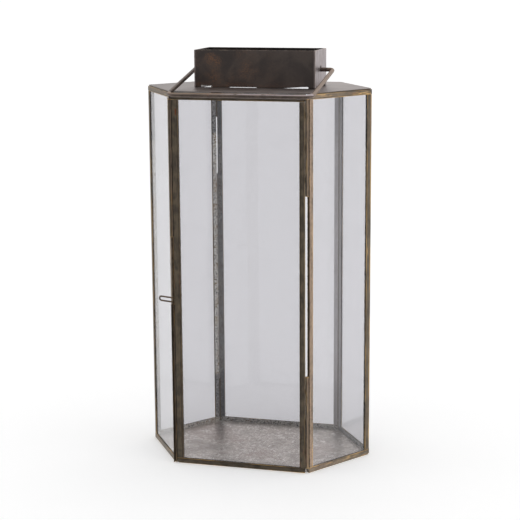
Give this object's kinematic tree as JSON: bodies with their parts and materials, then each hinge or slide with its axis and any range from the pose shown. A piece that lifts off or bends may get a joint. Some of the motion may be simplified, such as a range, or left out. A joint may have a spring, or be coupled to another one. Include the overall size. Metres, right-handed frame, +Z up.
{
  "type": "candle lantern",
  "caption": "Hexagonal glass candle lantern with metal cames, an open chimney on vented feet, a hinged front door with a drop latch, and a swinging wire bail.",
  "frame": {"origin": "centre of the underside of the base plate", "axes": "+Z up through the chimney, -Y out of the door, +X to the door's hinge side"},
  "size_m": [0.2243, 0.1621, 0.4],
  "materials": {
    "aged_bronze": "aged bronze patina, dark brown with worn tan edges",
    "chimney_bronze": "dark bronze patina with rusty speckle",
    "roof_bronze": "bronze patina over zinc, satin, mauve grey sheen",
    "galvanised_zinc": "galvanised, mottled and spangled, satin",
    "dark_wire": "blackened wire",
    "clear_glass": "clear, slightly hazy"
  },
  "bodies": {
    "lantern": {"base_plate": "galvanised_zinc", "roof_plate": "roof_bronze", "door_header": "aged_bronze", "chimney": "chimney_bronze", "upper_hinge_pin": "aged_bronze", "lower_hinge_pin": "aged_bronze", "latch_keeper": "aged_bronze", "right_front_glass": "clear_glass", "right_front_bottom_rail": "aged_bronze", "right_front_top_rail": "aged_bronze", "right_front_left_stile": "aged_bronze", "right_front_right_stile": "aged_bronze", "right_rear_glass": "clear_glass", "right_rear_bottom_rail": "aged_bronze", "right_rear_top_rail": "aged_bronze", "right_rear_left_stile": "aged_bronze", "right_rear_right_stile": "aged_bronze", "rear_glass": "clear_glass", "rear_bottom_rail": "aged_bronze", "rear_top_rail": "aged_bronze", "rear_left_stile": "aged_bronze", "rear_right_stile": "aged_bronze", "left_rear_glass": "clear_glass", "left_rear_bottom_rail": "aged_bronze", "left_rear_top_rail": "aged_bronze", "left_rear_left_stile": "aged_bronze", "left_rear_right_stile": "aged_bronze", "left_front_glass": "clear_glass", "left_front_bottom_rail": "aged_bronze", "left_front_top_rail": "aged_bronze", "left_front_left_stile": "aged_bronze", "left_front_right_stile": "aged_bronze"},
    "door": {"door_glass": "clear_glass", "door_bottom_rail": "aged_bronze", "door_top_rail": "aged_bronze", "door_left_stile": "aged_bronze", "door_right_stile": "aged_bronze", "upper_hinge_tube": "aged_bronze", "lower_hinge_tube": "aged_bronze", "latch_sleeve": "aged_bronze"},
    "latch": {"latch_wire": "dark_wire"},
    "bail": {"bail_handle": "aged_bronze"}
  },
  "joints": [
    {"name": "door_hinge", "type": "hinge", "parent": "lantern", "child": "door", "pos_m": [0.06638, -0.07122, 0.18], "axis": [0, 0, 1], "range_deg": [0, 165]},
    {"name": "latch_slide", "type": "slide", "parent": "door", "child": "latch", "axis": [0, 0, 1], "range_m": [0, 0.05]},
    {"name": "bail_swing", "type": "hinge", "parent": "lantern", "child": "bail", "pos_m": [0.0063, 0, 0.381], "axis": [-1, 0, 0], "range_deg": [0, 203]}
  ]
}
